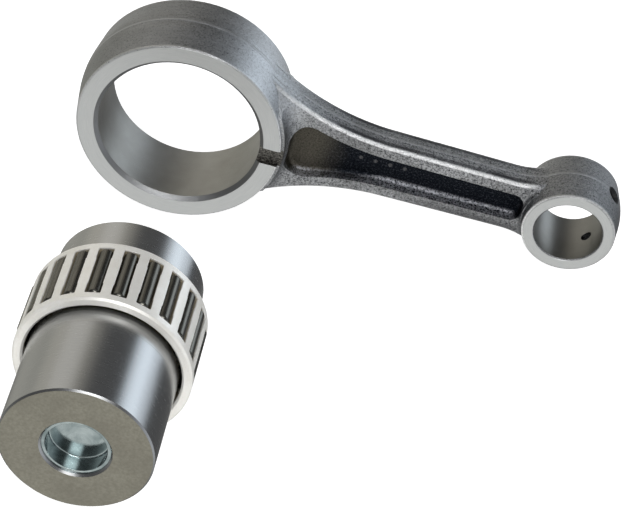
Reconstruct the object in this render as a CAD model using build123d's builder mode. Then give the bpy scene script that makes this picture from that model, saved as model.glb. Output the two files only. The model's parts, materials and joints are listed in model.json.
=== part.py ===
from build123d import *
import math
import os

# Connecting rod of a single-cylinder four-stroke engine, with its crank pin and big-end needle bearing.
# Millimetres. X runs from the big end to the small end, Y is the axis of both bores, and Z is up, across
# the shank. The origin is the centre of the big-end bore. The crank pin, cage and rollers lie in line
# with that bore, in front of it (towards -Y), ready to be slid in.

# Connecting rod: driving dimensions
CENTRE_DISTANCE = 105.5
BIG_BORE_RADIUS = 21.5
BIG_WIDTH = 22.0
BIG_FACE_RADIUS = 26.8
BIG_BODY_RADIUS = 28.6
BIG_CHAMFER = 1.1
SMALL_BORE_RADIUS = 9.0
SMALL_WIDTH = 18.0
SMALL_FACE_RADIUS = 11.85
SMALL_BODY_RADIUS = 13.5
SMALL_CHAMFER = 0.35
FACE_HEIGHT = 0.15
BODY_EDGE_RADIUS = 0.15
END_DRAFT_ANGLE = 7.5
PARTING_RADIUS = 26.0

# Shank: an I-beam whose flanges taper slightly towards the small end
SHANK_HALF_THICKNESS = 4.6
SHANK_DRAFT_ANGLE = 4.5
SHANK_TUCK = 0.5
SHANK_HALF_HEIGHT_BIG = 9.2
SHANK_HALF_HEIGHT_SMALL = 8.0
FLANK_BLEND_BIG = 62.0
FLANK_BLEND_SMALL = 20.0
FACE_BLEND_BIG = 5.5
FACE_BLEND_SMALL = 1.5
COLLAR_SINK = 0.05
COLLAR_TAPER = 28.0
FLANGE_EDGE_RADIUS = 1.3
WEB_HALF_THICKNESS = 1.6
FLANGE_WIDTH = 3.9
POCKET_START_RADIUS = 28.8
POCKET_END_X = 92.6
POCKET_RING_CORNER = 5.0
POCKET_BOSS_CORNER = 3.2
POCKET_FLOOR_RADIUS = 1.2
POCKET_DRAFT = 10.0

# Batch marks: a row of plain punch dots in the front pocket
PUNCH_COUNT = 4
PUNCH_PITCH = 4.0
PUNCH_START_X = 48.0
PUNCH_HEIGHT_Z = 0.8
PUNCH_RADIUS = 0.5
PUNCH_TAPER = 40.0

# Oil ways of the rod
SLOT_WIDTH = 5.0
SLOT_DEPTH = 1.5
SLOT_LENGTH = 8.4
OIL_HOLE_RADIUS = 1.5
OIL_MOUTH_RADIUS = 2.7
OIL_MOUTH_TAPER = 45.0
OIL_HOLE_ANGLES = (45.0, -45.0)

# Crank pin and its oil gallery plug
PIN_RADIUS = 18.0
PIN_LENGTH = 59.5
PIN_CHAMFER = 0.45
PIN_FRONT_Y = -130.5
GALLERY_RADIUS = 8.0
GALLERY_DEPTH = 10.0
GALLERY_CHAMFER = 0.5
DRILLING_RADIUS = 3.5
OIL_FEED_RADIUS = 2.0
PLUG_WALL = 0.8
PLUG_DEPTH = 5.0
PLUG_RECESS = 0.8
PLUG_CORNER_RADIUS = 0.9
PLUG_FLOOR_RADIUS = 0.35

# Needle cage and rollers
ROLLER_COUNT = 22
ROLLER_RADIUS = 1.73
ROLLER_LENGTH = 15.8
ROLLER_END_RADIUS = 0.9
PITCH_RADIUS = 19.75
CAGE_OUTER_RADIUS = 21.3
CAGE_INNER_RADIUS = 18.8
CAGE_WIDTH = 20.4
CAGE_CHAMFER = 0.5
CAGE_FRONT_GAP = 27.0
WINDOW_WIDTH = 3.75
WINDOW_LENGTH = 16.0
WINDOW_CORNER_RADIUS = 0.35
LUG_BASE_RADIUS = 20.6
LUG_DEPTH = 0.12
LUG_LENGTH = 9.0
FIRST_WINDOW_ANGLE = 90.0

# How close two sizes have to be to count as one, and how far a cutter runs past what it cuts
SAME_SIZE = 0.01
CUT_OVERRUN = 1.0

cage_front_y = PIN_FRONT_Y + CAGE_FRONT_GAP
cage_middle_y = cage_front_y + CAGE_WIDTH / 2

os.makedirs("parts", exist_ok=True)

# The rod seen along its bores: both round ends and the shank, joined by long blends
with BuildSketch(Plane.XZ) as rod_outline:
    with BuildLine():
        Polyline(
            (0, SHANK_HALF_HEIGHT_BIG),
            (CENTRE_DISTANCE, SHANK_HALF_HEIGHT_SMALL),
            (CENTRE_DISTANCE, -SHANK_HALF_HEIGHT_SMALL),
            (0, -SHANK_HALF_HEIGHT_BIG),
            close=True,
        )
    make_face()
    Circle(BIG_BODY_RADIUS - SHANK_TUCK)
    with Locations((CENTRE_DISTANCE, 0)):
        Circle(SMALL_BODY_RADIUS - SHANK_TUCK)
    # Of each end's corners, the ones where the shank meets the round end lie furthest along X
    big_corners = rod_outline.vertices().filter_by_position(Axis.X, 0, BIG_BODY_RADIUS)
    fillet(big_corners.group_by(Axis.X)[-1], FLANK_BLEND_BIG)
    small_end_start = CENTRE_DISTANCE - SMALL_BODY_RADIUS
    small_corners = rod_outline.vertices().filter_by_position(Axis.X, small_end_start, CENTRE_DISTANCE)
    fillet(small_corners.group_by(Axis.X)[-1], FLANK_BLEND_SMALL)

# Lightening pocket: the outline drawn in by the flange width, stopped short of both round ends
with BuildSketch(Plane.XZ) as pocket_outline:
    add(rod_outline.sketch_local)
    offset(amount=-FLANGE_WIDTH)
    Circle(POCKET_START_RADIUS, mode=Mode.SUBTRACT)
    with Locations((POCKET_END_X, 0)):
        Rectangle(CENTRE_DISTANCE, CENTRE_DISTANCE, align=(Align.MIN, Align.CENTER), mode=Mode.SUBTRACT)
    fillet(pocket_outline.vertices().group_by(Axis.X)[0], POCKET_RING_CORNER)
    fillet(pocket_outline.vertices().group_by(Axis.X)[-1], POCKET_BOSS_CORNER)

with BuildPart() as front_pocket:
    with BuildSketch(Plane.XZ.offset(SHANK_HALF_THICKNESS)):
        add(pocket_outline.sketch_local)
    extrude(amount=WEB_HALF_THICKNESS - SHANK_HALF_THICKNESS, taper=POCKET_DRAFT)
    pocket_floor = front_pocket.faces().sort_by(Axis.Y)[-1]
    fillet(pocket_floor.edges(), POCKET_FLOOR_RADIUS)
    # The pocket also cuts through the collar that stands on the flange faces beside it
    with BuildSketch(Plane.XZ.offset(SHANK_HALF_THICKNESS)):
        add(pocket_outline.sketch_local)
    extrude(amount=2 * FACE_BLEND_BIG)

# Flanges: the whole outline at shank thickness, with draft away from the parting plane at Y = 0
with BuildPart() as shank:
    extrude(rod_outline.sketch, amount=SHANK_HALF_THICKNESS, both=True, taper=SHANK_DRAFT_ANGLE)
    parting_edges = shank.edges().filter_by_position(Axis.Y, -SAME_SIZE, SAME_SIZE)
    fillet(parting_edges, PARTING_RADIUS)
    flange_faces = shank.faces().filter_by(Axis.Y)
    fillet(flange_faces.edges(), FLANGE_EDGE_RADIUS)

# Collars that blend the front flange face into the walls of the two round ends
with BuildPart() as front_collars:
    for end_x, wall_radius, blend in (
        (0, BIG_BODY_RADIUS, FACE_BLEND_BIG),
        (CENTRE_DISTANCE, SMALL_BODY_RADIUS, FACE_BLEND_SMALL),
    ):
        top_y = -SHANK_HALF_THICKNESS - blend + COLLAR_SINK
        wall_taper = SHANK_HALF_THICKNESS * math.tan(math.radians(END_DRAFT_ANGLE))
        foot_radius = wall_radius - wall_taper + blend
        with BuildSketch(Plane.XY):
            with Locations((end_x, top_y)):
                Rectangle(foot_radius, 2 * blend, align=(Align.MIN, Align.MIN))
            with Locations((end_x + foot_radius, top_y)):
                Circle(blend, mode=Mode.SUBTRACT)
        revolve(axis=Axis((end_x, 0, 0), (0, 1, 0)))
    with BuildSketch(Plane.XZ.offset(SHANK_HALF_THICKNESS / 2)):
        add(rod_outline.sketch_local)
    extrude(amount=2 * FACE_BLEND_BIG, taper=COLLAR_TAPER, mode=Mode.INTERSECT)

with BuildPart() as connecting_rod:
    with BuildSketch(Plane.XZ):
        Circle(BIG_BODY_RADIUS)
    extrude(amount=BIG_WIDTH / 2 - FACE_HEIGHT, both=True, taper=END_DRAFT_ANGLE)
    with BuildSketch(Plane.XZ):
        with Locations((CENTRE_DISTANCE, 0)):
            Circle(SMALL_BODY_RADIUS)
    extrude(amount=SMALL_WIDTH / 2 - FACE_HEIGHT, both=True, taper=END_DRAFT_ANGLE)
    fillet(connecting_rod.edges().filter_by_position(Axis.Y, -SAME_SIZE, SAME_SIZE), PARTING_RADIUS)
    rims = connecting_rod.faces().filter_by(Axis.Y).edges()
    fillet(rims, BODY_EDGE_RADIUS)
    add(shank.part)
    add(front_collars.part)
    add(mirror(front_collars.part, about=Plane.XZ, mode=Mode.PRIVATE))
    add(front_pocket.part, mode=Mode.SUBTRACT)
    add(mirror(front_pocket.part, about=Plane.XZ, mode=Mode.PRIVATE), mode=Mode.SUBTRACT)
    # Ground faces of both ends
    with BuildSketch(Plane.XZ):
        Circle(BIG_FACE_RADIUS)
    extrude(amount=BIG_WIDTH / 2, both=True)
    with BuildSketch(Plane.XZ):
        with Locations((CENTRE_DISTANCE, 0)):
            Circle(SMALL_FACE_RADIUS)
    extrude(amount=SMALL_WIDTH / 2, both=True)
    # Bores
    with BuildSketch(Plane.XZ):
        Circle(BIG_BORE_RADIUS)
        with Locations((CENTRE_DISTANCE, 0)):
            Circle(SMALL_BORE_RADIUS)
    extrude(amount=BIG_WIDTH, both=True, mode=Mode.SUBTRACT)
    bore_edges = connecting_rod.edges().filter_by(GeomType.CIRCLE)
    big_mouths = bore_edges.filter_by(lambda edge: abs(edge.radius - BIG_BORE_RADIUS) < SAME_SIZE)
    small_mouths = bore_edges.filter_by(lambda edge: abs(edge.radius - SMALL_BORE_RADIUS) < SAME_SIZE)
    chamfer(small_mouths, SMALL_CHAMFER)
    chamfer(big_mouths, BIG_CHAMFER)
    # Punch dots
    for index in range(PUNCH_COUNT):
        dot = Vector(PUNCH_START_X + index * PUNCH_PITCH, -WEB_HALF_THICKNESS, PUNCH_HEIGHT_Z)
        with BuildSketch(Plane(origin=dot, z_dir=(0, 1, 0))):
            Circle(PUNCH_RADIUS)
        extrude(amount=PUNCH_RADIUS / 2, taper=PUNCH_TAPER, mode=Mode.SUBTRACT)
    # Oil slots across both ground faces of the big end, on the shank side
    for face_y in (-BIG_WIDTH / 2, BIG_WIDTH / 2 - SLOT_DEPTH):
        with BuildSketch(Plane.XZ.offset(-face_y)):
            with Locations((BIG_BORE_RADIUS - BIG_CHAMFER, 0)):
                Rectangle(SLOT_LENGTH, SLOT_WIDTH, align=(Align.MIN, Align.CENTER))
        extrude(amount=-SLOT_DEPTH, mode=Mode.SUBTRACT)
    # Oil holes into the small end
    for angle in OIL_HOLE_ANGLES:
        direction = Vector(1, 0, 0).rotate(Axis.Y, -angle)
        start = Vector(CENTRE_DISTANCE, 0, 0) + direction * SMALL_BODY_RADIUS
        with BuildSketch(Plane(origin=start, z_dir=-direction)):
            Circle(OIL_HOLE_RADIUS)
        extrude(amount=SMALL_BODY_RADIUS - SMALL_BORE_RADIUS / 2, mode=Mode.SUBTRACT)
        with BuildSketch(Plane(origin=start, z_dir=-direction)):
            Circle(OIL_MOUTH_RADIUS)
        extrude(amount=OIL_MOUTH_RADIUS / 2, taper=OIL_MOUTH_TAPER, mode=Mode.SUBTRACT)
connecting_rod.part.label = "connecting_rod"
export_step(connecting_rod.part, "parts/connecting_rod.step")

# Crank pin: ground cylinder with a stepped oil gallery and a feed hole under the rollers
with BuildPart() as crank_pin:
    with BuildSketch(Plane.XZ.offset(-PIN_FRONT_Y)):
        Circle(PIN_RADIUS)
    extrude(amount=-PIN_LENGTH)
    chamfer(crank_pin.edges().filter_by(GeomType.CIRCLE), PIN_CHAMFER)
    with BuildSketch(Plane.XZ.offset(-PIN_FRONT_Y)):
        Circle(GALLERY_RADIUS)
    extrude(amount=-GALLERY_DEPTH, mode=Mode.SUBTRACT)
    with BuildSketch(Plane.XZ.offset(-PIN_FRONT_Y)):
        Circle(DRILLING_RADIUS)
    extrude(amount=-PIN_LENGTH, mode=Mode.SUBTRACT)
    end_faces = crank_pin.faces().filter_by(Axis.Y)
    pin_ends = end_faces.sort_by(Axis.Y)[0::len(end_faces) - 1]
    hole_mouths = pin_ends.edges().filter_by(lambda edge: edge.radius < PIN_RADIUS / 2)
    chamfer(hole_mouths, GALLERY_CHAMFER)
    with BuildSketch(Plane(origin=(0, cage_middle_y, 0), z_dir=(0, 0, -1))):
        Circle(OIL_FEED_RADIUS)
    extrude(amount=PIN_RADIUS + CUT_OVERRUN, mode=Mode.SUBTRACT)
crank_pin.part.label = "crank_pin"
export_step(crank_pin.part, "parts/crank_pin.step")

# Cup plug that closes the front end of the gallery
plug_front_y = PIN_FRONT_Y + PLUG_RECESS
with BuildPart() as gallery_plug:
    with BuildSketch(Plane.XZ.offset(-plug_front_y)):
        Circle(GALLERY_RADIUS)
    extrude(amount=-PLUG_DEPTH)
    fillet(gallery_plug.edges().group_by(Axis.Y)[-1], PLUG_CORNER_RADIUS)
    with BuildSketch(Plane.XZ.offset(-plug_front_y)):
        Circle(GALLERY_RADIUS - PLUG_WALL)
    extrude(amount=PLUG_WALL - PLUG_DEPTH, mode=Mode.SUBTRACT)
    cup_floor = gallery_plug.faces().filter_by(Axis.Y).sort_by(Axis.Y)[1]
    fillet(cup_floor.edges(), PLUG_FLOOR_RADIUS)
gallery_plug.part.label = "gallery_plug"
export_step(gallery_plug.part, "parts/gallery_plug.step")

# One window of the cage, along +X: full width, narrowed near the outside by a lug on each side
with BuildPart() as window:
    with BuildSketch(Plane.YZ.offset(CAGE_INNER_RADIUS - CUT_OVERRUN)):
        with Locations((cage_middle_y, 0)):
            RectangleRounded(WINDOW_LENGTH, WINDOW_WIDTH, WINDOW_CORNER_RADIUS)
    extrude(amount=LUG_BASE_RADIUS - CAGE_INNER_RADIUS + CUT_OVERRUN)
    with BuildSketch(Plane.YZ.offset(LUG_BASE_RADIUS)):
        with Locations((cage_middle_y, 0)):
            RectangleRounded(WINDOW_LENGTH, WINDOW_WIDTH, WINDOW_CORNER_RADIUS)
        with Locations((cage_middle_y, WINDOW_WIDTH / 2), (cage_middle_y, -WINDOW_WIDTH / 2)):
            Rectangle(LUG_LENGTH, 2 * LUG_DEPTH, mode=Mode.SUBTRACT)
    extrude(amount=CAGE_OUTER_RADIUS - LUG_BASE_RADIUS + CUT_OVERRUN)

with BuildPart() as needle_cage:
    with BuildSketch(Plane.XZ.offset(-cage_front_y)):
        Circle(CAGE_OUTER_RADIUS)
        Circle(CAGE_INNER_RADIUS, mode=Mode.SUBTRACT)
    extrude(amount=-CAGE_WIDTH)
    chamfer(needle_cage.edges().filter_by(GeomType.CIRCLE), CAGE_CHAMFER)
    with Locations(Plane.XZ):
        with PolarLocations(0, ROLLER_COUNT, start_angle=FIRST_WINDOW_ANGLE):
            add(window.part.moved(Plane.XZ.location.inverse()), mode=Mode.SUBTRACT)
needle_cage.part.label = "needle_cage"
export_step(needle_cage.part, "parts/needle_cage.step")

# Rollers, one in each window
for index in range(ROLLER_COUNT):
    angle = math.radians(FIRST_WINDOW_ANGLE + 360 * index / ROLLER_COUNT)
    roller_x = PITCH_RADIUS * math.cos(angle)
    roller_z = PITCH_RADIUS * math.sin(angle)
    roller_front_y = cage_middle_y - ROLLER_LENGTH / 2
    with BuildPart() as roller:
        with BuildSketch(Plane(origin=(roller_x, roller_front_y, roller_z), z_dir=(0, 1, 0))):
            Circle(ROLLER_RADIUS)
        extrude(amount=ROLLER_LENGTH)
        fillet(roller.edges().filter_by(GeomType.CIRCLE), ROLLER_END_RADIUS)
    roller.part.label = f"roller_{index + 1:02d}"
    export_step(roller.part, f"parts/roller_{index + 1:02d}.step")
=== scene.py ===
import json
import math

import bpy
from mathutils import Matrix, Vector


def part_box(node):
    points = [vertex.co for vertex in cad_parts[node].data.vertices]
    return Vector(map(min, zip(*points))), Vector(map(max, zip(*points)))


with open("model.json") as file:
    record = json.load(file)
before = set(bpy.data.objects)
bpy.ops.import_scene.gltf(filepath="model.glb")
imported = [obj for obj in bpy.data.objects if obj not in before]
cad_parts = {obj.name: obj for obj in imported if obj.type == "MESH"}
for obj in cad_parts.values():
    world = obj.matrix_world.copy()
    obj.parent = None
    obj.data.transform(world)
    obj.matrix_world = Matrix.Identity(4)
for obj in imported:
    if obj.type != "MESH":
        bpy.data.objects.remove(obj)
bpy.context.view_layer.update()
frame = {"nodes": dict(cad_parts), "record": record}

# Looks of a connecting rod laid out with its crank pin and caged needle bearing. Metres.
# X runs along the rod, Y is the axis of both bores and Z is up, as in the CAD frame.

MM = 0.001
ROLLER_NODES = sorted(name for name in frame["nodes"] if name.startswith("roller_"))

# Places on the rod, read from the frame
mounts = {mount["name"]: mount for mount in frame["record"]["mounts"]}
BIG_BORE = mounts["big_end_bore"]["dims"]["r_mm"] * MM
SMALL_BORE = mounts["small_end_bore"]["dims"]["r_mm"] * MM
SMALL_X = mounts["small_end_bore"]["pos_m"][0]
rod_low, rod_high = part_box("connecting_rod")
pin_low, pin_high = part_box("crank_pin")
cage_low, cage_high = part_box("needle_cage")
BIG_HALF_WIDTH = rod_high[1]

# Sizes of the rod's machined surfaces
BIG_LAND_RADIUS = 26.8 * MM
SMALL_LAND_RADIUS = 11.85 * MM
SMALL_HALF_WIDTH = 9.0 * MM
LAND_HEIGHT = 0.15 * MM
BORE_CHAMFER = 1.1 * MM
SLOT_HALF_WIDTH = 2.5 * MM
SLOT_DEPTH = 1.5 * MM
SHANK_FACE_Y = 4.6 * MM
RIM_WEAR = 0.5 * MM

# Punch dots in the front pocket
WEB_FACE_Y = 1.6 * MM
PUNCH_Z = 0.8 * MM
PUNCH_XS = (48, 52, 56, 60)

# Crank pin: how far in front of the cage its raceway starts
RACEWAY_LEAD = 4 * MM

# Studio
FLOOR_GLOW = 0.75
FLOOR_DROP = 22 * MM
FLOOR_SIZE = 6.0
OBJECT_CENTRE = (0.04, -0.04, 0.0)

# Broad soft lights: direction from the object, angles in degrees where each is full and gone, and colour
STUDIO_LIGHTS = (
    ((0.03, -0.76, -0.64), 35, 75, (0.80, 0.80, 0.78)),
    ((-0.49, 0.76, 0.42), 6, 32, (0.50, 0.47, 0.40)),
    ((0.62, 0.76, 0.22), 6, 22, (1.15, 1.26, 1.38)),
    ((-0.80, 0.50, -0.30), 5, 45, (0.45, 0.44, 0.38)),
    ((0.03, -0.62, 0.74), 6, 22, (2.4, 2.4, 2.4)),
    ((1.0, -0.2, 0.0), 12, 48, (0.42, 0.44, 0.48)),
    ((0.0, 0.95, -0.32), 8, 30, (0.75, 0.75, 0.73)),
    ((0.0, -0.05, 1.0), 12, 40, (0.45, 0.46, 0.48)),
)
ROOM_LIGHT = (0.12, 0.12, 0.12)


class Graph:
    """A node graph, with short calls for the nodes that the materials and the sky here are made of."""

    def __init__(self, tree, space):
        self.tree = tree
        self.place = tree.nodes.new("ShaderNodeTexCoord").outputs[space]

    def put(self, socket, value):
        if isinstance(value, bpy.types.NodeSocket):
            self.tree.links.new(value, socket)
        elif isinstance(value, tuple) and socket.type == "RGBA" and len(value) == 3:
            socket.default_value = (*value, 1.0)
        else:
            socket.default_value = value

    def math(self, operation, first, second=0.0, clamp=False):
        node = self.tree.nodes.new("ShaderNodeMath")
        node.operation = operation
        node.use_clamp = clamp
        self.put(node.inputs[0], first)
        self.put(node.inputs[1], second)
        return node.outputs[0]

    def split(self, vector):
        node = self.tree.nodes.new("ShaderNodeSeparateXYZ")
        self.put(node.inputs[0], vector)
        return node.outputs[0], node.outputs[1], node.outputs[2]

    def join(self, x, y, z):
        node = self.tree.nodes.new("ShaderNodeCombineXYZ")
        for socket, value in zip(node.inputs, (x, y, z)):
            self.put(socket, value)
        return node.outputs[0]

    def above(self, value, edge, width):
        """0 below edge and 1 above it, with a ramp of the given width centred on the edge."""
        node = self.tree.nodes.new("ShaderNodeMapRange")
        node.interpolation_type = "SMOOTHSTEP"
        self.put(node.inputs["Value"], value)
        node.inputs["From Min"].default_value = edge - width / 2
        node.inputs["From Max"].default_value = edge + width / 2
        return node.outputs[0]

    def below(self, value, edge, width):
        return self.math("SUBTRACT", 1.0, self.above(value, edge, width))

    def both(self, *masks):
        result = masks[0]
        for mask in masks[1:]:
            result = self.math("MULTIPLY", result, mask)
        return result

    def either(self, *masks):
        result = masks[0]
        for mask in masks[1:]:
            result = self.math("MAXIMUM", result, mask)
        return result

    def noise(self, scale, detail=3.0, rough=0.55, vector=None, warp=0.0):
        node = self.tree.nodes.new("ShaderNodeTexNoise")
        self.put(node.inputs["Vector"], vector or self.place)
        node.inputs["Scale"].default_value = scale
        node.inputs["Detail"].default_value = detail
        node.inputs["Roughness"].default_value = rough
        node.inputs["Distortion"].default_value = warp
        return node.outputs["Fac"]

    def spread(self, value, low, high, to_low=0.0, to_high=1.0):
        """Stretches value's range low..high to to_low..to_high, held at both ends."""
        node = self.tree.nodes.new("ShaderNodeMapRange")
        self.put(node.inputs["Value"], value)
        for name, number in (("From Min", low), ("From Max", high), ("To Min", to_low), ("To Max", to_high)):
            node.inputs[name].default_value = number
        return node.outputs[0]

    def blend(self, factor, first, second, mode="MIX"):
        node = self.tree.nodes.new("ShaderNodeMix")
        node.data_type = "RGBA"
        node.blend_type = mode
        self.put(node.inputs["Factor"], factor)
        self.put(node.inputs[6], first)
        self.put(node.inputs[7], second)
        return node.outputs[2]

    def weigh(self, factor, first, second):
        """A number that goes from first to second as factor goes from 0 to 1."""
        node = self.tree.nodes.new("ShaderNodeMix")
        node.data_type = "FLOAT"
        self.put(node.inputs[0], factor)
        self.put(node.inputs[2], first)
        self.put(node.inputs[3], second)
        return node.outputs[0]

    def bump(self, height, distance, strength=1.0, normal=None):
        node = self.tree.nodes.new("ShaderNodeBump")
        node.inputs["Distance"].default_value = distance
        self.put(node.inputs["Strength"], strength)
        self.put(node.inputs["Height"], height)
        if normal is not None:
            self.put(node.inputs["Normal"], normal)
        return node.outputs[0]

    def rounded(self, radius):
        """The surface normal with its sharp edges rounded over."""
        node = self.tree.nodes.new("ShaderNodeBevel")
        node.samples = 4
        node.inputs["Radius"].default_value = radius
        return node.outputs[0]

    def lobe(self, direction, full_angle, end_angle):
        """1 within full_angle degrees of a direction, easing to 0 at end_angle."""
        node = self.tree.nodes.new("ShaderNodeVectorMath")
        node.operation = "DOT_PRODUCT"
        self.put(node.inputs[0], self.place)
        self.put(node.inputs[1], Vector(direction).normalized())
        full, end = (math.cos(math.radians(angle)) for angle in (full_angle, end_angle))
        return self.above(node.outputs["Value"], (full + end) / 2, full - end)

    def around(self, centre_x, centre_z):
        """Distance from an axis along Y, and the turn about it in radians."""
        x, _, z = self.split(self.place)
        across = self.math("SUBTRACT", x, centre_x)
        up = self.math("SUBTRACT", z, centre_z)
        length = self.math(
            "SQRT", self.math("ADD", self.math("MULTIPLY", across, across), self.math("MULTIPLY", up, up))
        )
        return length, self.math("ARCTAN2", up, across)


class Finish(Graph):
    """The graph of one material, which ends in a Principled shader."""

    def __init__(self, name):
        self.material = bpy.data.materials.new(name)
        self.material.use_nodes = True
        tree = self.material.node_tree
        tree.nodes.clear()
        super().__init__(tree, "Object")
        self.shader = tree.nodes.new("ShaderNodeBsdfPrincipled")
        output = tree.nodes.new("ShaderNodeOutputMaterial")
        tree.links.new(self.shader.outputs[0], output.inputs["Surface"])

    def finish(self, color, roughness, normal, metallic=1.0):
        self.put(self.shader.inputs["Base Color"], color)
        self.put(self.shader.inputs["Roughness"], roughness)
        self.put(self.shader.inputs["Normal"], normal)
        self.shader.inputs["Metallic"].default_value = metallic
        return self.material


def round_marks(graph, radius, turn, along):
    """Fine marks that run round an axis: noise drawn out along the turn."""
    stretched = graph.join(
        graph.math("MULTIPLY", radius, 5000.0),
        graph.math("MULTIPLY", along, 5000.0),
        graph.math("MULTIPLY", turn, 5.0),
    )
    return graph.noise(1.0, detail=4.0, rough=0.65, vector=stretched)


def near_point(graph, place, radius, width):
    """1 within radius of a place, 0 outside it."""
    node = graph.tree.nodes.new("ShaderNodeVectorMath")
    node.operation = "DISTANCE"
    graph.put(node.inputs[0], graph.place)
    graph.put(node.inputs[1], place)
    return graph.below(node.outputs["Value"], radius, width)


def forged_rod_material():
    """Shot-blasted forging, with ground end faces, honed bores and a dark, scaled pocket with painted shade
    in it.
    """
    graph = Finish("forged_rod")
    x, y, z = graph.split(graph.place)
    off_plane = graph.math("ABSOLUTE", y)
    off_line = graph.math("ABSOLUTE", z)
    big_r, big_turn = graph.around(0.0, 0.0)
    small_r, small_turn = graph.around(SMALL_X, 0.0)
    edge = 0.05 * MM

    # Where each finish lies
    big_land = graph.both(
        graph.above(off_plane, BIG_HALF_WIDTH - LAND_HEIGHT * 0.5, edge),
        graph.below(big_r, BIG_LAND_RADIUS + 0.1 * MM, edge),
    )
    small_land = graph.both(
        graph.above(off_plane, SMALL_HALF_WIDTH - LAND_HEIGHT * 0.5, edge),
        graph.below(small_r, SMALL_LAND_RADIUS + 0.1 * MM, edge),
    )
    big_bore = graph.below(big_r, BIG_BORE + 0.03 * MM, edge)
    small_bore = graph.below(small_r, SMALL_BORE + 0.03 * MM, edge)
    in_slot = graph.both(
        graph.below(off_line, SLOT_HALF_WIDTH + 0.02 * MM, edge),
        graph.above(x, 0.0, edge),
        graph.above(off_plane, BIG_HALF_WIDTH - SLOT_DEPTH - 0.1 * MM, edge),
        graph.below(off_plane, BIG_HALF_WIDTH - 0.1 * MM, edge),
    )
    big_mouth = graph.both(
        graph.above(big_r, BIG_BORE + 0.03 * MM, edge),
        graph.below(big_r, BIG_BORE + BORE_CHAMFER - 0.03 * MM, edge),
        graph.above(off_plane, BIG_HALF_WIDTH - BORE_CHAMFER - 0.05 * MM, edge),
        graph.math("SUBTRACT", 1.0, in_slot),
    )
    # Rim of each end face: edge wear with a painted highlight on it
    rim_wear_and_highlight = graph.either(
        graph.both(
            graph.above(off_plane, BIG_HALF_WIDTH - LAND_HEIGHT - RIM_WEAR, 0.4 * MM),
            graph.above(big_r, BIG_LAND_RADIUS - 0.1 * MM, edge),
        ),
        graph.both(
            graph.above(off_plane, SMALL_HALF_WIDTH - LAND_HEIGHT - RIM_WEAR, 0.4 * MM),
            graph.above(small_r, SMALL_LAND_RADIUS - 0.1 * MM, edge),
            graph.above(x, SMALL_X / 2, edge),
        ),
    )
    land = graph.either(big_land, small_land)
    bore = graph.either(big_bore, small_bore)
    cut = graph.either(land, bore, big_mouth)
    pocket_half = graph.spread(x, 34 * MM, 56 * MM, 9.4 * MM, 5.4 * MM)
    above_floor = graph.math("SUBTRACT", off_line, pocket_half)
    pocket = graph.both(
        graph.below(off_plane, 4.3 * MM, 0.6 * MM),
        graph.below(above_floor, 0.0, 0.8 * MM),
        graph.above(x, 27.5 * MM, 3.0 * MM),
        graph.below(x, 93.2 * MM, 0.8 * MM),
    )

    # Forged skin: coarse blast grain over slow patches of tone, smoother round both ends
    grain = graph.noise(1900.0, detail=5.0, rough=0.8)
    sparkle = graph.noise(2600.0, detail=2.0, rough=0.6)
    patch = graph.noise(70.0, detail=3.0, rough=0.6)
    skin = graph.blend(graph.spread(grain, 0.39, 0.61), (0.032, 0.034, 0.040), (0.58, 0.59, 0.61))
    skin = graph.blend(graph.spread(sparkle, 0.56, 0.74, 0.0, 0.7), skin, (0.62, 0.63, 0.65))
    skin = graph.blend(graph.spread(patch, 0.35, 0.7, 0.0, 0.5), skin, (0.10, 0.102, 0.10))
    # Painted highlight: a bright line painted along the upper edge of each flange
    ridge_highlight = graph.both(
        graph.above(off_plane, SHANK_FACE_Y - 0.95 * MM, 0.5 * MM),
        graph.below(off_plane, SHANK_FACE_Y - 0.12 * MM, 0.1 * MM),
        graph.above(above_floor, 1.0 * MM, 0.5 * MM),
        graph.above(x, 26 * MM, 8 * MM),
        graph.below(x, SMALL_X - 12 * MM, 4 * MM),
    )
    # Painted shade in the recess above each flange ridge
    recess_shade = graph.both(
        graph.above(off_plane, SHANK_FACE_Y - 2.3 * MM, 0.8 * MM),
        graph.below(off_plane, SHANK_FACE_Y - 1.2 * MM, 0.5 * MM),
        graph.above(above_floor, 1.0 * MM, 0.5 * MM),
        graph.above(x, 38 * MM, 16 * MM),
        graph.below(x, SMALL_X - 12 * MM, 4 * MM),
    )
    # The lower flange face is darker towards the small end
    low_flange = graph.both(
        graph.below(z, -5.5 * MM, 3 * MM),
        graph.above(x, 66 * MM, 30 * MM),
        graph.below(x, SMALL_X - 12 * MM, 6 * MM),
    )
    # Painted shade in the recess and the darker lower flange, both drawn as dark grain
    darkened_zones = graph.either(recess_shade, graph.math("MULTIPLY", low_flange, 0.6))
    painted_darkening = graph.math("MULTIPLY", darkened_zones, graph.spread(patch, 0.3, 0.55, 0.45, 0.95))
    skin = graph.blend(painted_darkening, skin, graph.blend(grain, (0.012, 0.012, 0.014), (0.10, 0.10, 0.11)))
    # Rims and flange ridges painted bright: wear on the rims, and a painted highlight on rims and ridges
    edge_wear_and_highlight = graph.math("MULTIPLY", graph.either(rim_wear_and_highlight, ridge_highlight), graph.spread(grain, 0.34, 0.52, 0.45, 1.0))
    skin = graph.blend(edge_wear_and_highlight, skin, (0.86, 0.865, 0.87))
    ring_side = graph.below(x, 24 * MM, 14 * MM)
    along_flow = graph.join(
        graph.math("MULTIPLY", off_plane, 900.0), graph.math("MULTIPLY", big_turn, 4.0), 0.0
    )
    flow = graph.noise(1.0, detail=4.0, rough=0.6, vector=along_flow)
    smooth_skin = graph.blend(graph.spread(flow, 0.35, 0.65), (0.235, 0.24, 0.245), (0.31, 0.318, 0.33))
    boss_side = graph.above(x, SMALL_X - 9 * MM, 5 * MM)
    smooth = graph.either(graph.math("MULTIPLY", ring_side, 0.62), graph.math("MULTIPLY", boss_side, 0.45))
    skin = graph.blend(smooth, skin, smooth_skin)
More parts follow.
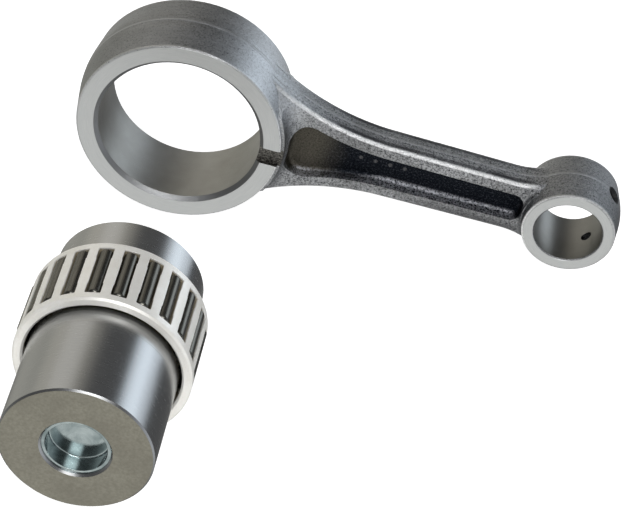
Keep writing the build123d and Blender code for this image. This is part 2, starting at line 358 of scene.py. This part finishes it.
    # Painted highlight on the top right of the big-end ring
    ring_top_highlight = graph.both(
        graph.above(x, 8 * MM, 18 * MM),
        graph.below(x, 32 * MM, 16 * MM),
        graph.above(z, 8 * MM, 14 * MM),
        graph.spread(grain, 0.40, 0.58, 0.35, 0.75),
    )
    skin = graph.blend(ring_top_highlight, skin, (0.74, 0.77, 0.80))
    flash_line = graph.below(off_plane, 0.45 * MM, 0.5 * MM)
    skin = graph.blend(graph.math("MULTIPLY", flash_line, 0.45), skin, (0.55, 0.56, 0.58))

    # Pocket: nearly black oxide with painted shade of the recess over it, greyer and warmer by the big end,
    # with a painted highlight along its lower wall
    oxide_and_shade = graph.blend(graph.spread(grain, 0.52, 0.80), (0.006, 0.008, 0.012), (0.16, 0.17, 0.20))
    warm = graph.blend(graph.spread(grain, 0.36, 0.70), (0.045, 0.040, 0.032), (0.16, 0.15, 0.125))
    near_big = graph.below(graph.math("ADD", x, graph.math("MULTIPLY", patch, 8 * MM)), 44 * MM, 12 * MM)
    oxide_and_shade = graph.blend(near_big, oxide_and_shade, warm)
    # Painted highlight along the pocket's lower wall, which faces up
    lower_wall = graph.both(graph.below(z, 0.0, 1 * MM), graph.above(above_floor, -1.9 * MM, 1.4 * MM))
    lower_wall_highlight = graph.both(lower_wall, graph.spread(grain, 0.42, 0.55))
    oxide_and_shade = graph.blend(graph.math("MULTIPLY", lower_wall_highlight, 0.95), oxide_and_shade, (0.62, 0.63, 0.68))
    dots = [
        near_point(graph, (dot_x * MM, -WEB_FACE_Y, PUNCH_Z), 0.55 * MM, 0.3 * MM) for dot_x in PUNCH_XS
    ]
    oxide_and_shade = graph.blend(graph.math("MULTIPLY", graph.either(*dots), 0.35), oxide_and_shade, (0.34, 0.34, 0.35))
    rough_color = graph.blend(pocket, skin, oxide_and_shade)
    slot_color = graph.blend(graph.spread(grain, 0.42, 0.62), (0.008, 0.008, 0.008), (0.26, 0.25, 0.23))
    rough_color = graph.blend(in_slot, rough_color, slot_color)

    # Ground faces and honed bores
    big_marks = round_marks(graph, big_r, big_turn, y)
    small_marks = round_marks(graph, small_r, small_turn, y)
    near_small = graph.above(x, SMALL_X / 2, 1 * MM)
    marks = graph.weigh(near_small, big_marks, small_marks)
    bore_tone = graph.blend(graph.spread(patch, 0.3, 0.7), (0.32, 0.315, 0.295), (0.42, 0.42, 0.405))
    land_tone = graph.blend(graph.spread(marks, 0.3, 0.7), (0.49, 0.505, 0.51), (0.59, 0.60, 0.60))
    # Painted shade inside the small bore, which is darker than the big one
    bore_tone = graph.blend(graph.math("MULTIPLY", near_small, 0.45), bore_tone, (0.11, 0.108, 0.10))
    cut_color = graph.blend(land, bore_tone, land_tone)
    # Bore chamfer painted darker than the lands: a painted dark reflection
    cut_color = graph.blend(big_mouth, cut_color, (0.27, 0.275, 0.28))

    # Oil holes: painted shade, nearly black, inside them
    hole_shade_spots = []
    reach = (SMALL_BORE + 2.2 * MM) * math.sqrt(0.5)
    for side in (1, -1):
        hole_shade_spots.append(near_point(graph, (SMALL_X + reach, 0.0, side * reach), 3.1 * MM, 0.2 * MM))
    hole_shade = graph.both(graph.either(*hole_shade_spots), graph.above(small_r, SMALL_BORE + 0.05 * MM, edge))

    color = graph.blend(cut, rough_color, cut_color)
    color = graph.blend(graph.math("MULTIPLY", hole_shade, 0.9), color, (0.012, 0.012, 0.012))
    rough_skin = graph.weigh(edge_wear_and_highlight, graph.spread(grain, 0.35, 0.65, 0.26, 0.50), 0.28)
    rough_bore = graph.spread(marks, 0.3, 0.7, 0.38, 0.46)
    rough_land = graph.spread(marks, 0.3, 0.7, 0.36, 0.44)
    roughness = graph.weigh(cut, rough_skin, graph.weigh(land, rough_bore, rough_land))
    uncut = graph.math("SUBTRACT", 1.0, cut)
    normal = graph.bump(flash_line, 0.12 * MM, strength=uncut, normal=graph.rounded(0.25 * MM))
    normal = graph.bump(grain, 0.22 * MM, strength=graph.weigh(ring_side, uncut, 0.4), normal=normal)
    normal = graph.bump(marks, 0.0015 * MM, strength=cut, normal=normal)
    return graph.finish(color, roughness, normal)


def ground_pin_material():
    """Crank pin: ground and polished round its side, plainer and browner on its two end faces."""
    graph = Finish("ground_pin")
    _, y, _ = graph.split(graph.place)
    radius, turn = graph.around(0.0, 0.0)
    end_gap = 0.05 * MM
    front = graph.below(y, pin_low[1] + end_gap, 0.02 * MM)
    back = graph.above(y, pin_high[1] - end_gap, 0.02 * MM)
    end = graph.either(front, back)
    marks = round_marks(graph, radius, turn, y)
    patch = graph.noise(120.0, detail=4.0, rough=0.6)
    side = graph.blend(graph.spread(marks, 0.3, 0.7), (0.355, 0.365, 0.37), (0.415, 0.42, 0.425))
    speckle = graph.noise(1400.0, detail=3.0, rough=0.7)
    face = graph.blend(graph.spread(speckle, 0.35, 0.7), (0.235, 0.225, 0.185), (0.33, 0.32, 0.27))
    face = graph.blend(graph.spread(patch, 0.4, 0.75, 0.0, 0.5), face, (0.19, 0.18, 0.15))
    raceway_y = cage_low[1] - RACEWAY_LEAD
    raceway = graph.above(y, raceway_y, 0.1 * MM)
    side = graph.blend(graph.math("MULTIPLY", raceway, 0.25), side, (0.50, 0.50, 0.49))
    race_line = graph.both(raceway, graph.below(y, raceway_y + 0.2 * MM, 0.1 * MM))
    side = graph.blend(graph.math("MULTIPLY", race_line, 0.35), side, (0.20, 0.19, 0.17))
    color = graph.blend(end, side, face)
    rough_side = graph.spread(marks, 0.3, 0.7, 0.22, 0.28)
    rough_end = graph.spread(speckle, 0.3, 0.7, 0.42, 0.56)
    roughness = graph.weigh(end, rough_side, rough_end)
    normal = graph.bump(marks, 0.0015 * MM, normal=graph.rounded(0.15 * MM))
    normal = graph.bump(speckle, 0.01 * MM, strength=end, normal=normal)
    return graph.finish(color, roughness, normal)


def zinc_plug_material():
    """Bright zinc plating, faintly green, over a drawn steel cup."""
    graph = Finish("zinc_plate")
    _, y, _ = graph.split(graph.place)
    radius, turn = graph.around(0.0, 0.0)
    marks = round_marks(graph, radius, turn, y)
    cloud = graph.noise(260.0, detail=4.0, rough=0.6, warp=0.6)
    color = graph.blend(graph.spread(cloud, 0.3, 0.75), (0.22, 0.27, 0.275), (0.50, 0.565, 0.57))
    roughness = graph.spread(cloud, 0.3, 0.75, 0.08, 0.18)
    normal = graph.bump(marks, 0.006 * MM, normal=graph.rounded(0.2 * MM))
    return graph.finish(color, roughness, normal)


def silver_cage_material():
    """Satin silver plating, slightly warm, with fine darker specks and browner inner surfaces."""
    graph = Finish("silver_plate")
    fine = graph.noise(3000.0, detail=3.0, rough=0.6)
    cloud = graph.noise(220.0, detail=4.0, rough=0.6)
    _, y, _ = graph.split(graph.place)
    radius, _ = graph.around(0.0, 0.0)
    color = graph.blend(graph.spread(cloud, 0.3, 0.75), (0.86, 0.84, 0.785), (0.95, 0.94, 0.905))
    color = graph.blend(graph.spread(fine, 0.55, 0.8, 0.0, 0.3), color, (0.62, 0.58, 0.50))
    inside = graph.both(
        graph.below(radius, cage_high[2] - 0.35 * MM, 0.3 * MM),
        graph.above(y, cage_low[1] + 1.5 * MM, 0.5 * MM),
        graph.below(y, cage_high[1] - 1.5 * MM, 0.5 * MM),
    )
    color = graph.blend(graph.math("MULTIPLY", inside, 0.85), color, (0.40, 0.33, 0.20))
    roughness = graph.spread(fine, 0.3, 0.7, 0.34, 0.5)
    normal = graph.bump(fine, 0.02 * MM, normal=graph.rounded(0.2 * MM))
    return graph.finish(color, roughness, normal, metallic=0.35)


def roller_material():
    """Dark polished bearing steel with faint lengthwise polish marks."""
    graph = Finish("roller_steel")
    x, y, z = graph.split(graph.place)
    stretched = graph.join(
        graph.math("MULTIPLY", x, 6000.0), graph.math("MULTIPLY", y, 300.0), graph.math("MULTIPLY", z, 6000.0)
    )
    marks = graph.noise(1.0, detail=3.0, rough=0.6, vector=stretched)
    color = graph.blend(graph.spread(marks, 0.3, 0.7), (0.10, 0.097, 0.085), (0.16, 0.155, 0.14))
    roughness = graph.spread(marks, 0.3, 0.7, 0.22, 0.32)
    normal = graph.bump(marks, 0.003 * MM, normal=graph.rounded(0.1 * MM))
    return graph.finish(color, roughness, normal)


def floor_material():
    """Pale matte studio floor with a very faint mottle."""
    graph = Finish("studio_floor")
    cloud = graph.noise(9.0, detail=3.0, rough=0.5)
    color = graph.blend(graph.spread(cloud, 0.3, 0.7), (0.90, 0.90, 0.90), (0.93, 0.93, 0.93))
    normal = graph.bump(graph.noise(900.0), 0.02 * MM)
    graph.shader.inputs["Emission Color"].default_value = (1.0, 1.0, 1.0, 1.0)
    graph.shader.inputs["Emission Strength"].default_value = FLOOR_GLOW
    return graph.finish(color, 0.75, normal, metallic=0.0)


def dress(node_name, material):
    obj = frame["nodes"][node_name]
    obj.data.materials.clear()
    obj.data.materials.append(material)


dress("connecting_rod", forged_rod_material())
dress("crank_pin", ground_pin_material())
dress("gallery_plug", zinc_plug_material())
dress("needle_cage", silver_cage_material())
roller_steel = roller_material()
for roller_name in ROLLER_NODES:
    dress(roller_name, roller_steel)

# Floor, a little below the rod
floor_mesh = bpy.data.meshes.new("studio_floor")
half = FLOOR_SIZE / 2
floor_z = rod_low[2] - FLOOR_DROP
floor_mesh.from_pydata(
    [(-half, -half, floor_z), (half, -half, floor_z), (half, half, floor_z), (-half, half, floor_z)],
    [],
    [(0, 1, 2, 3)],
)
floor = bpy.data.objects.new("studio_floor", floor_mesh)
bpy.context.scene.collection.objects.link(floor)
floor_mesh.materials.append(floor_material())
floor.visible_glossy = False


def add_camera():
    aim = Vector((41.4, -44.3, 0.0)) * MM
    distance = 589.5 * MM
    azimuth, elevation, roll = (math.radians(angle) for angle in (2.02, 40.1, 16.33))
    flat = math.cos(elevation)
    forward = Vector((math.sin(azimuth) * flat, math.cos(azimuth) * flat, -math.sin(elevation)))
    level = forward.cross(Vector((0, 0, 1))).normalized()
    up = level.cross(forward)
    right = level * math.cos(roll) + up * math.sin(roll)
    up = right.cross(forward)
    data = bpy.data.cameras.new("camera")
    data.lens = 135.6
    data.sensor_width = 36.0
    data.clip_start = 0.01
    data.clip_end = 20.0
    camera = bpy.data.objects.new("camera", data)
    turn = Matrix((right, up, -forward)).transposed().to_4x4()
    camera.matrix_world = Matrix.Translation(aim - forward * distance) @ turn
    bpy.context.scene.collection.objects.link(camera)
    bpy.context.scene.camera = camera


def add_softbox(name, place, size, power, color=(1.0, 1.0, 1.0)):
    data = bpy.data.lights.new(name, "AREA")
    data.shape = "RECTANGLE"
    data.size, data.size_y = size
    data.energy = power
    data.color = color
    light = bpy.data.objects.new(name, data)
    direction = Vector(OBJECT_CENTRE) - Vector(place)
    light.rotation_euler = direction.to_track_quat("-Z", "Y").to_euler()
    light.location = place
    bpy.context.scene.collection.objects.link(light)


def add_sky():
    """What the metal sees round it: a dim room with broad soft lights in it."""
    world = bpy.data.worlds.new("studio")
    world.use_nodes = True
    graph = Graph(world.node_tree, "Generated")
    total = ROOM_LIGHT
    for direction, full_angle, end_angle, color in STUDIO_LIGHTS:
        glow = graph.blend(graph.lobe(direction, full_angle, end_angle), (0.0, 0.0, 0.0), color)
        total = graph.blend(1.0, total, glow, mode="ADD")
    graph.put(world.node_tree.nodes["Background"].inputs["Color"], total)
    bpy.context.scene.world = world


add_camera()
add_sky()
add_softbox("left_softbox", (-0.55, 0.55, 0.50), (0.5, 0.4), 0.2)
add_softbox("right_softbox", (0.66, 0.55, 0.40), (0.4, 0.4), 0.4, color=(0.82, 0.92, 1.0))
add_softbox("front_softbox", (0.02, -0.62, 0.80), (0.5, 0.12), 3.0)

# Plain display, so that the floor comes out white
bpy.context.scene.view_settings.view_transform = "Standard"
